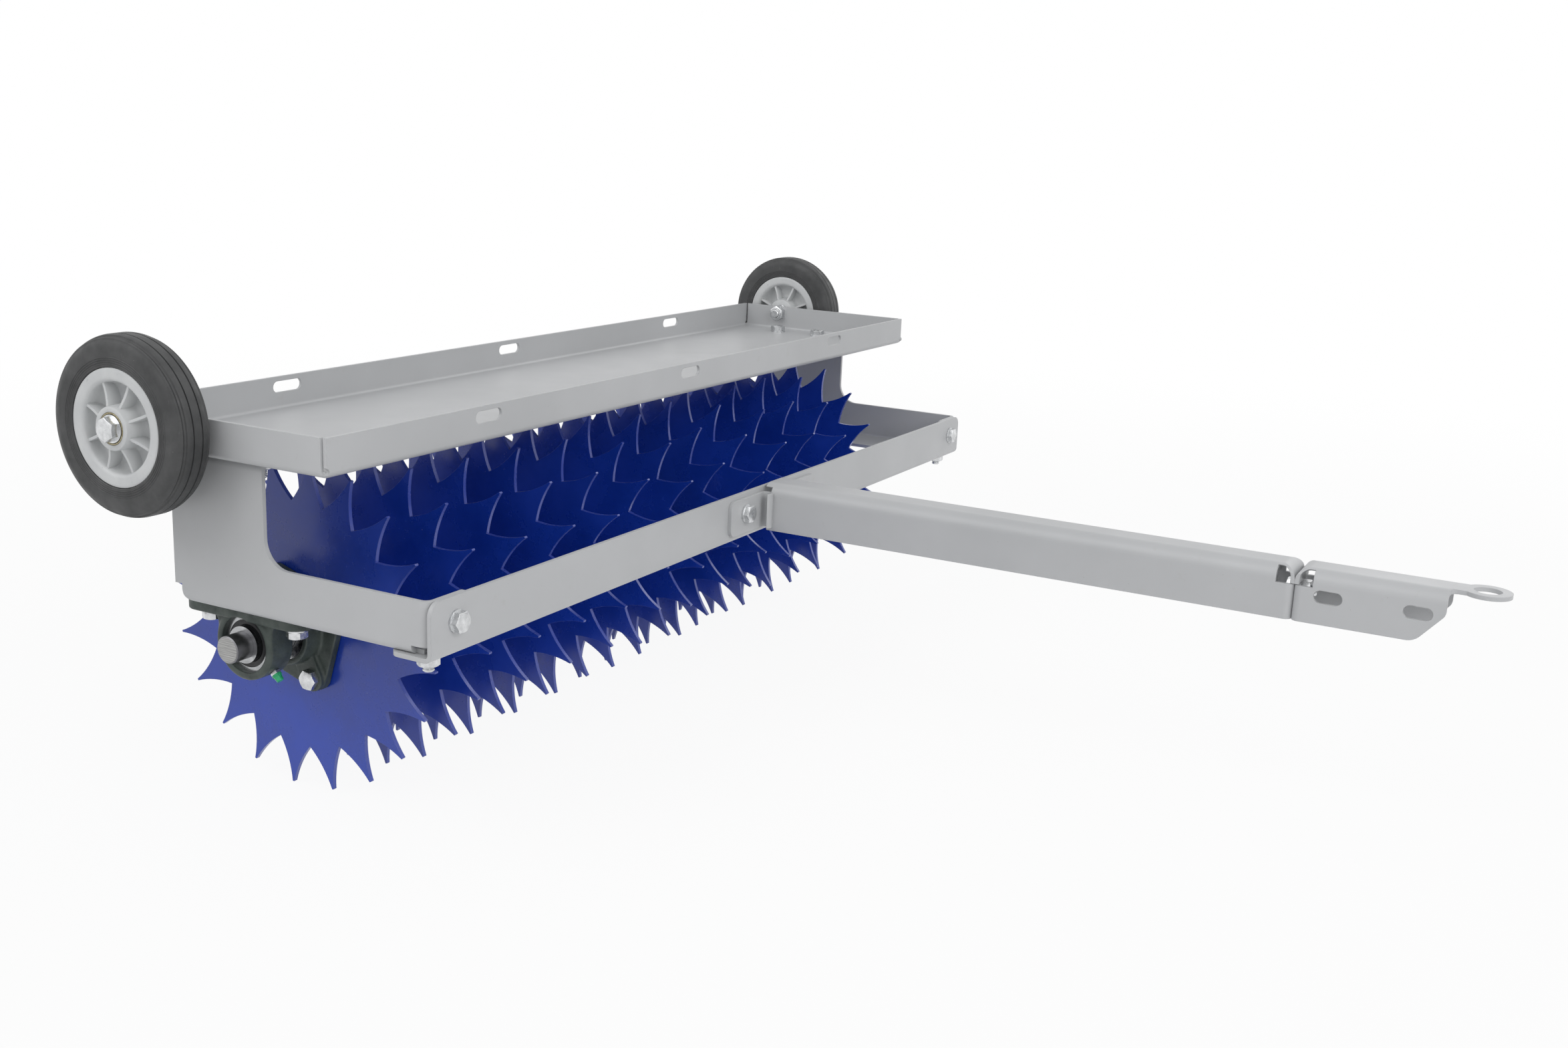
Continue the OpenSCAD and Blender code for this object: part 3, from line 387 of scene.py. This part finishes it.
def bronze_bush():
    """Dull sintered bronze of the hub bushes."""
    f = Finish("bronze_bush")
    f.set(Metallic=1.0)
    f.colour(f.mix(f.clouds(300, 4), (0.2, 0.17, 0.1), (0.42, 0.38, 0.26)))
    f.roughness(f.noise(300, 3), 0.3, 0.5)
    f.bump(f.noise(900, 2), 0.2, 0.05 * MM)
    return f.material


# Making pieces


def deselect():
    if bpy.context.object and bpy.context.object.mode != "OBJECT":
        bpy.ops.object.mode_set(mode="OBJECT")
    bpy.ops.object.select_all(action="DESELECT")


def choose(*pieces):
    deselect()
    for piece in pieces:
        piece.select_set(True)
    bpy.context.view_layer.objects.active = pieces[0]


def named(name):
    piece = bpy.context.object
    piece.name = piece.data.name = name
    return piece


def set_in_place(piece):
    choose(piece)
    bpy.ops.object.transform_apply(location=True, rotation=True, scale=True)


def smooth(piece, degrees):
    choose(piece)
    bpy.ops.object.shade_smooth_by_angle(angle=math.radians(degrees))


def apply_modifiers(piece):
    choose(piece)
    for modifier in list(piece.modifiers):
        bpy.ops.object.modifier_apply(modifier=modifier.name)


def cut_away(piece, tool, operation):
    """Cuts a piece with another, which is then thrown away."""
    modifier = piece.modifiers.new("cut", "BOOLEAN")
    modifier.operation = operation
    modifier.solver = "EXACT"
    modifier.object = tool
    apply_modifiers(piece)
    bpy.data.objects.remove(tool)


def join(name, pieces):
    choose(*pieces)
    if len(pieces) > 1:
        bpy.ops.object.join()
    return named(name)


def turned(name, stations, sides, hollow=False):
    """Turns a profile of (height, radius) in mm about Z. A hollow one closes on its first station."""
    deselect()
    height, radius = stations[0]
    bpy.ops.mesh.primitive_circle_add(
        vertices=sides,
        radius=radius * MM,
        location=(0, 0, height * MM),
        fill_type="NOTHING" if hollow else "NGON",
    )
    piece = named(name)
    set_in_place(piece)
    bpy.ops.object.mode_set(mode="EDIT")
    bpy.ops.mesh.select_mode(type="EDGE" if hollow else "FACE")
    bpy.ops.mesh.select_all(action="SELECT")
    rest = stations[1:] + stations[:1] if hollow else stations[1:]
    for next_height, next_radius in rest:
        rise = (0, 0, (next_height - height) * MM)
        bpy.ops.mesh.extrude_region_move(TRANSFORM_OT_translate={"value": rise})
        grow = next_radius / radius
        if abs(grow - 1) > 1e-9:
            bpy.ops.transform.resize(value=(grow, grow, 1), center_override=(0, 0, next_height * MM))
        height, radius = next_height, next_radius
    bpy.ops.mesh.select_all(action="SELECT")
    bpy.ops.mesh.remove_doubles(threshold=1e-6)
    bpy.ops.mesh.normals_make_consistent(inside=False)
    bpy.ops.object.mode_set(mode="OBJECT")
    return piece


def arc(middle, radius, start, end, steps):
    """Stations on an arc, its angles in degrees from the height's direction towards the radius."""
    angles = [math.radians(start + (end - start) * i / steps) for i in range(steps + 1)]
    return [(middle[0] + radius * math.cos(a), middle[1] + radius * math.sin(a)) for a in angles]


def copies(master, places, name):
    """Copies a master piece to each place, each copy with its own mesh, and joins them."""
    made = []
    for place in places:
        piece = master.copy()
        piece.data = master.data.copy()
        bpy.context.collection.objects.link(piece)
        piece.data.transform(place)
        made.append(piece)
    return join(name, made)


def finished(piece, body, slot, finish, *nodes):
    """Gives a piece its finish and its body. It stands for the CAD nodes that it is the finer form of."""
    piece.data.materials.clear()
    piece.data.materials.append(finish)
    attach(piece, body)
    if nodes:
        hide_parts(*nodes)


def onto_x(middle, outward=-1):
    """Lays a piece turned about Z along X, its top pointing outward."""
    return Matrix.Translation(middle) @ Matrix.Rotation(math.radians(90 * outward), 4, "Y")


# Fasteners


def separate_solids(node):
    """Corner points of each solid of a CAD node."""
    mesh = bmesh.new()
    mesh.from_mesh(frame["nodes"][node].data)
    bmesh.ops.remove_doubles(mesh, verts=mesh.verts, dist=1e-6)
    mesh.verts.index_update()
    waiting = {v.index: v for v in mesh.verts}
    solids = []
    while waiting:
        _, first = waiting.popitem()
        reached, points = [first], []
        while reached:
            corner = reached.pop()
            points.append(corner.co.copy())
            for edge in corner.link_edges:
                other = edge.other_vert(corner)
                if other.index in waiting:
                    reached.append(waiting.pop(other.index))
        solids.append(points)
    mesh.free()

    def rounded_middle(points):
        return tuple(round(sum(p[k] for p in points) / len(points), 5) for k in range(3))

    return sorted(solids, key=rounded_middle)


def fastener_places(node, flat=False):
    """Place of each hexagon's outer face in a node: Z along the axis and outward, Y through a corner.

    The axis of a flat one, such as a nut, runs along its shortest side, that of a bolt along its longest.
    """
    places = []
    for points in separate_solids(node):
        low = Vector([min(p[k] for p in points) for k in range(3)])
        high = Vector([max(p[k] for p in points) for k in range(3)])
        size, middle = high - low, (high + low) / 2
        along = (min if flat else max)(range(3), key=lambda k: size[k])

        def off_axis(p):
            d = p - middle
            d[along] = 0
            return d

        ends = []
        for end in (low, high):
            near = [off_axis(p).length for p in points if abs(p[along] - end[along]) < 0.02 * MM]
            ends.append(max(near))
        # a bolt's head is its wide end; a nut's chamfered outer face is its narrow end
        wide_end_is_high = ends[1] > ends[0]
        top = high if wide_end_is_high != flat else low
        axis = Vector((0, 0, 0))
        axis[along] = 1 if top is high else -1
        corner = max((off_axis(p) for p in points), key=lambda d: round(d.length, 6)).normalized()
        face = middle.copy()
        face[along] = top[along]
        turn = Matrix((corner.cross(axis), corner, axis)).transposed().to_4x4()
        places.append((Matrix.Translation(face) @ turn, size[along] / MM))
    return places


def hexagon(name, across_flats, height):
    """Hexagon with its outer face at z = 0 and a turned chamfer."""
    deselect()
    bpy.ops.mesh.primitive_cylinder_add(
        vertices=6,
        radius=across_flats / math.sqrt(3) * MM,
        depth=height * MM,
        location=(0, 0, -height / 2 * MM),
    )
    body = named(name)
    set_in_place(body)
    rim = across_flats / 2
    cone = [(-height - 1, rim * 1.3), (-rim * 0.17, rim * 1.24), (0, rim * 0.95)]
    tool = turned("chamfer", cone, 48)
    cut_away(body, tool, "INTERSECT")
    return body


def thread(name, start, end, diameter, pitch):
    """Threaded shank from start down to end, with a plain bevel at its tip."""
    crest = diameter / 2 - THREAD_PLAY
    root = diameter / 2 - 0.62 * pitch
    stations = [(start, crest)]
    bevel_l, bevel_in, runout = 0.9, 1.0, 1.2
    turns = int((start - end - runout) / pitch)
    for k in range(turns):
        top = start - k * pitch
        stations += [(top - 0.1 * pitch, crest), (top - 0.45 * pitch, root)]
        stations += [(top - 0.6 * pitch, root), (top - 0.95 * pitch, crest)]
    stations += [(end + bevel_l, crest), (end, crest - bevel_in)]
    return turned(name, stations, 24)


def hex_bolt(name, across_flats, head, diameter, length, pitch):
    """Hex bolt with its outer face at z = 0: head, plain neck and thread."""
    top = hexagon(name, across_flats, head)
    neck_r, neck_l, sunk = diameter / 2 - THREAD_PLAY, 2, 0.5
    neck_end = -head - neck_l
    neck = turned("neck", [(sunk - head, neck_r), (neck_end, neck_r)], 24)
    shank = thread("shank", neck_end, -length, diameter, pitch)
    return join(name, [top, neck, shank])


def hex_nut(name, across_flats, height, diameter, collar=0.0):
    """Hex nut with its outer face at z = 0. A lock nut carries a round collar above its hexagon."""
    body = hexagon(name, across_flats, height - collar)
    if collar:
        body.data.transform(Matrix.Translation((0, 0, -collar * MM)))
        outer, inner, foot = across_flats * 0.43, diameter / 2 + 0.3, -collar - 0.5
        bend = [(-0.9, outer), (-0.25, outer - 0.4), (0, outer - 1.4)]
        ring = turned("collar", [(foot, outer), *bend, (0, inner), (foot, inner)], 48, True)
    bore_r = diameter / 2 + THREAD_PLAY
    tool = turned("bore", [(-height - 1, bore_r), (1, bore_r)], 32)
    cut_away(body, tool, "DIFFERENCE")
    return join(name, [body, ring]) if collar else body


def make_bolts(node, body, across_flats, head, diameter, pitch):
    """Finer bolts for every bolt of a CAD node."""
    lengths = {}
    for place, length in fastener_places(node):
        lengths.setdefault(round(length, 1), []).append(place)
    groups = []
    for length, places in lengths.items():
        master = hex_bolt("bolt", across_flats, head, diameter, length, pitch)
        groups.append(copies(master, places, node + "_set"))
        bpy.data.objects.remove(master)
    piece = join(node + "_threaded", groups)
    smooth(piece, 32)
    finished(piece, body, "zinc", zinc, node)


def make_nuts(node, body, across_flats, height, diameter, collar=0.0):
    """Finer nuts for every nut of a CAD node."""
    master = hex_nut("nut", across_flats, height, diameter, collar)
    piece = copies(master, [place for place, _ in fastener_places(node, True)], node + "_chamfered")
    bpy.data.objects.remove(master)
    smooth(piece, 32)
    finished(piece, body, "zinc", zinc, node)


# Wheels


def tyre_profile():
    """Closed section of the tyre from the wheel's middle plane: rings, shoulder ridges and tread grooves."""
    half, tread, seat, shoulder = 18.0, 78.0, 51.15, 12.0
    side = [(half - 0.6, seat), (half, seat + 0.8)]
    for ring in (53.6, 55.4, 57.2, 59.0):
        crest = half + 0.45
        side += [(half, ring - 0.55), (crest, ring - 0.15), (crest, ring + 0.15), (half, ring + 0.55)]
    middle = (half - shoulder, tread - shoulder)
    bend = arc(middle, shoulder, 0, 40, 6)
    ridge = arc(middle, shoulder + 0.5, 44, 50, 2)
    dip = arc(middle, shoulder - 1.0, 55, 63, 2)
    crown = arc(middle, shoulder, 68, 86, 3)
    groove = [(5.4, tread), (5.1, tread - 1.1), (4.2, tread - 1.1), (3.9, tread)]
    outer_half = side + bend + ridge + dip + crown + groove
    return outer_half + [(-h, r) for h, r in reversed(outer_half)]


def rim_profile():
    """Closed section of the moulded rim: rolled lip, bowl, web, hub, counterbore and bore."""
    lip = [(15.5, 51.0), (17.0, 50.6), (17.5, 49.8), (17.6, 47.5), (17.5, 44.0)]
    lip += arc((13.5, 43.0), 4.0, 5, -80, 6)
    bowl = [(12.0, 38.7), (7.5, 38.2)]
    bowl += [(4.9, 37.0), (3.4, 35.0), (2.7, 32.0), (2.5, 26.0), (2.9, 22.6), (4.2, 20.6), (6.5, 19.7)]
    hub = [(19.8, 18.9), (21.0, 18.4), (21.5, 17.4), (21.5, 14.8), (21.1, 14.1), (18.5, 14.0), (18.5, 10.15)]
    back = [(-21.5, 10.15), (-21.5, 17.4), (-21.0, 18.4), (-19.8, 18.9)]
    rear = [(-h, r) for h, r in reversed(lip + bowl)]
    return lip + bowl + hub + back + rear


def make_spoke():
    """One rib on the +Y side of the hub, its height along Z, drawn in by the mould towards its edges."""
    thick, start, long = 3.2, 17, 23
    half_blank, half_at_hub, half_at_lip, sag = 18.5, 18.8, 14.6, 1.3
    deselect()
    bpy.ops.mesh.primitive_cube_add(
        size=1,
        location=(0, (start + long / 2) * MM, 0),
        scale=(thick * MM, long * MM, 2 * half_blank * MM),
    )
    rib = named("spoke")
    set_in_place(rib)
    bpy.ops.object.mode_set(mode="EDIT")
    bpy.ops.mesh.subdivide(number_cuts=3)
    bpy.ops.object.mode_set(mode="OBJECT")
    for corner in rib.data.vertices:
        out = (corner.co.y / MM - start) / long
        reach = half_at_hub * (1 - out) + half_at_lip * out - sag * math.sin(math.pi * out)
        corner.co.z *= reach / half_blank
        corner.co.x *= 1 - 0.22 * abs(corner.co.z) / (half_blank * MM)
    bevel = rib.modifiers.new("edges", "BEVEL")
    bevel.width = 0.55 * MM
    bevel.segments = 2
    bevel.limit_method = "ANGLE"
    bevel.angle_limit = math.radians(50)
    apply_modifiers(rib)
    return rib


def make_wheels():
    """Tyre, rim with its spokes and hub bush, made once and set at both wheels."""
    tyre = turned("tyre", tyre_profile(), 120, True)
    smooth(tyre, 30)
    shell = turned("rim", rim_profile(), 96, True)
    rib = make_spoke()
    step = 360 / SPOKES
    turns = [Matrix.Rotation(math.radians(step * (k + 0.5)), 4, "Z") for k in range(SPOKES)]
    ribs = copies(rib, turns, "ribs")
    bpy.data.objects.remove(rib)
    rim = join("rim", [shell, ribs])
    smooth(rim, 38)
    bush_profile = [(21.0, 13.8), (21.2, 13.4), (21.2, 12.7), (20.8, 12.3), (18.7, 12.3), (18.7, 13.8)]
    bush = turned("bush", bush_profile, 64, True)
    smooth(bush, 30)
    for side, outward in (("left", -1), ("right", 1)):
        place = onto_x(wheel_middle[side], outward)
        body = "wheel_" + side
        tyre_piece = copies(tyre, [place], "tyre_moulded_" + side)
        finished(tyre_piece, body, "tyre_rubber", rubber, "tyre_" + side)
        rim_piece = copies(rim, [place], "rim_moulded_" + side)
        finished(rim_piece, body, "rim_plastic", wheel_plastic, "wheel_rim_" + side)
        bush_piece = copies(bush, [place], "hub_bush_" + side)
        finished(bush_piece, body, "bearing_steel", bronze)
    for master in (tyre, rim, bush):
        bpy.data.objects.remove(master)


# Bearings


def soft_casting(node, body):
    """A housing with the soft edges of a casting, made from its own solid."""
    piece = frame["nodes"][node].copy()
    piece.data = frame["nodes"][node].data.copy()
    bpy.context.collection.objects.link(piece)
    piece.parent = None
    # the copy is a new piece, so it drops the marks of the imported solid
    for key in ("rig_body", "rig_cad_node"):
        if key in piece:
            del piece[key]
    piece.name = piece.data.name = node.replace("housing", "casting")
    choose(piece)
    bpy.ops.object.mode_set(mode="EDIT")
    bpy.ops.mesh.select_all(action="SELECT")
    bpy.ops.mesh.remove_doubles(threshold=1e-6)
    bpy.ops.object.mode_set(mode="OBJECT")
    grid = piece.modifiers.new("grid", "REMESH")
    grid.mode = "VOXEL"
    grid.voxel_size = 1.0 * MM
    soften = piece.modifiers.new("soften", "SMOOTH")
    soften.factor = 0.5
    soften.iterations = 3
    apply_modifiers(piece)
    smooth(piece, 60)
    finished(piece, body, "cast_housing", casting, node)


def make_castings():
    """Two pillow blocks on the frame, and a flange bearing at each end of each half drum."""
    for side in ("left", "right"):
        soft_casting("pillow_housing_" + side, "frame")
    for number, side in enumerate(("left", "left", "right", "right"), 1):
        soft_casting("flange_housing_%d" % number, "drum_" + side)


def make_seals():
    """Rolled rubber seal in each face of the pillow block bearings."""
    inner_lip = [(7.4, 17.2), (8.0, 17.25), (8.15, 17.8), (7.9, 18.6)]
    outer_lip = [(7.9, 20.6), (8.2, 21.3), (8.0, 22.1), (7.4, 22.2)]
    seal = turned("seal", inner_lip + outer_lip, 72, True)
    smooth(seal, 40)
    for side in ("left", "right"):
        places = [onto_x(pillow_middle[side], outward) for outward in (-1, 1)]
        seals = copies(seal, places, "bearing_seals_" + side)
        finished(seals, "frame", "bearing_steel", seal_rubber)
    bpy.data.objects.remove(seal)


def make_weld_beads():
    """Rippled fillet welds between the star plates and the core tubes."""
    deselect()
    bpy.ops.mesh.primitive_torus_add(
        major_radius=35.6 * MM,
        minor_radius=2.6 * MM,
        major_segments=120,
        minor_segments=8,
    )
    bead = named("bead")
    for corner in bead.data.vertices:
        angle = math.atan2(corner.co.y, corner.co.x)
        ripple = 1 + 0.006 * math.sin(30 * angle) + 0.004 * math.sin(7 * angle + 1)
        corner.co.x *= ripple
        corner.co.y *= ripple
    smooth(bead, 60)
    for side, (first, last) in HALF_DRUMS.items():
        places = []
        for number in range(first, last + 1):
            low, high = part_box("star_%02d" % number)
            # the outer faces of the end stars carry bearings and have no weld
            if number != first:
                places.append(onto_x(Vector((low.x, shaft_middle.y, shaft_middle.z))))
            if number != last:
                places.append(onto_x(Vector((high.x, shaft_middle.y, shaft_middle.z))))
        beads = copies(bead, places, "weld_beads_" + side)
        finished(beads, "drum_" + side, "blue_paint", star_blue)
    bpy.data.objects.remove(bead)


# Room


def white_rays(nodes, links):
    """1 for what the camera, a reflection or a clear piece sees, 0 for the light on the part."""
    rays = nodes.new("ShaderNodeLightPath").outputs
    seen = combined(nodes, links, "MAXIMUM", rays["Is Camera Ray"], rays["Is Glossy Ray"])
    return combined(nodes, links, "MAXIMUM", seen, rays["Is Transmission Ray"])


def blended(nodes, links, amount, first, second, output):
    """Blends two shaders into a material's or a world's output."""
    blend = nodes.new("ShaderNodeMixShader")
    links.new(amount, blend.inputs["Fac"])
    links.new(first, blend.inputs[1])
    links.new(second, blend.inputs[2])
    links.new(blend.outputs["Shader"], nodes[output].inputs["Surface"])


def make_floor():
    """White paper that keeps the part's shadow, and fades to plain white, so no horizon shows."""
    deselect()
    bpy.ops.mesh.primitive_plane_add(size=14, location=(0, 0, -0.0005))
    floor = named("floor")
    set_in_place(floor)
    material = bpy.data.materials.new("studio_floor")
    material.use_nodes = True
    nodes, links = material.node_tree.nodes, material.node_tree.links
    paper = nodes["Principled BSDF"]
    paper.inputs["Base Color"].default_value = (0.82, 0.82, 0.82, 1)
    paper.inputs["Roughness"].default_value = 0.9
    glow = nodes.new("ShaderNodeEmission")
    glow.inputs["Color"].default_value = (1, 1, 1, 1)
    glow.inputs["Strength"].default_value = 1.0
    place = nodes.new("ShaderNodeTexCoord")
    distance = nodes.new("ShaderNodeVectorMath")
    distance.operation = "LENGTH"
    links.new(place.outputs["Object"], distance.inputs[0])
    fade = nodes.new("ShaderNodeMapRange")
    fade.interpolation_type = "SMOOTHSTEP"
    for socket, value in (("From Min", 0.9), ("From Max", 3.0), ("To Min", 0.92), ("To Max", 1.0)):
        fade.inputs[socket].default_value = value
    links.new(distance.outputs["Value"], fade.inputs["Value"])
    seen = combined(nodes, links, "MULTIPLY", fade.outputs["Result"], white_rays(nodes, links))
    blended(nodes, links, seen, paper.outputs["BSDF"], glow.outputs["Emission"], "Material Output")
    floor.data.materials.append(material)


def make_world():
    """Even light from all round, in front of a plain white backdrop."""
    world = bpy.data.worlds.new("studio")
    bpy.context.scene.world = world
    world.use_nodes = True
    nodes, links = world.node_tree.nodes, world.node_tree.links
    light = nodes["Background"]
    light.inputs["Color"].default_value = (0.975, 0.985, 1.0, 1)
    light.inputs["Strength"].default_value = WORLD_LIGHT
    white = nodes.new("ShaderNodeBackground")
    white.inputs["Strength"].default_value = 1.0
    white.inputs["Color"].default_value = (1, 1, 1, 1)
    seen = white_rays(nodes, links)
    blended(nodes, links, seen, light.outputs["Background"], white.outputs["Background"], "World Output")


def add_lamp(name, place, target, size, power):
    """Soft rectangular lamp that looks at its target."""
    deselect()
    bpy.ops.object.light_add(type="AREA", location=place)
    lamp = bpy.context.object
    lamp.name = name
    lamp.data.shape = "RECTANGLE"
    lamp.data.size, lamp.data.size_y = size
    lamp.data.energy = power
    lamp.rotation_euler = (Vector(target) - Vector(place)).to_track_quat("-Z", "Y").to_euler()


coat = grey_powder_coat()
star_blue = blue_star_paint()
casting = cast_housing()
bar_steel = drawn_steel()
bearing_steel = ground_steel()
zinc = zinc_plate()
cap_green = green_cap_plastic()
wheel_plastic = rim_plastic()
rubber = tyre_rubber()
seal_rubber = black_seal_rubber()
bronze = bronze_bush()

SLOT_FINISH = {
    "grey_paint": coat,
    "blue_paint": star_blue,
    "cast_housing": casting,
    "shaft_steel": bar_steel,
    "bearing_steel": bearing_steel,
    "zinc": zinc,
    "cap_plastic": cap_green,
    "rim_plastic": wheel_plastic,
    "tyre_rubber": rubber,
}
for part in frame["record"]["subparts"]:
    solid = frame["nodes"][part["node"]]
    for material_slot in solid.material_slots:
        material_slot.material = SLOT_FINISH[part["material_slot"]]

set_camera()
make_floor()
make_world()
add_lamp("key", (-2.8, 1.6, 3.2), (0, 0.3, 0.2), (3.0, 3.0), 50)
add_lamp("front", (-1.4, -3.4, 2.2), (0, 0.2, 0.2), (3.0, 2.2), 54)
add_lamp("right", (3.4, -0.8, 2.2), (0, 0.3, 0.2), (2.0, 2.0), 14)

make_wheels()
make_castings()
make_seals()
make_weld_beads()
make_bolts("frame_bolts", "frame", **M10_BOLT)
make_bolts("pillow_bolts", "frame", **M10_BOLT)
make_bolts("flange_bolts_left", "drum_left", **M10_BOLT)
make_bolts("flange_bolts_right", "drum_right", **M10_BOLT)
make_bolts("wheel_bolts", "frame", **M12_BOLT)
make_nuts("frame_nuts", "frame", **M10_NUT)
make_nuts("flange_nuts_left", "drum_left", **M10_NUT)
make_nuts("flange_nuts_right", "drum_right", **M10_NUT)
make_nuts("wheel_lock_nuts", "frame", **M12_LOCK_NUT)
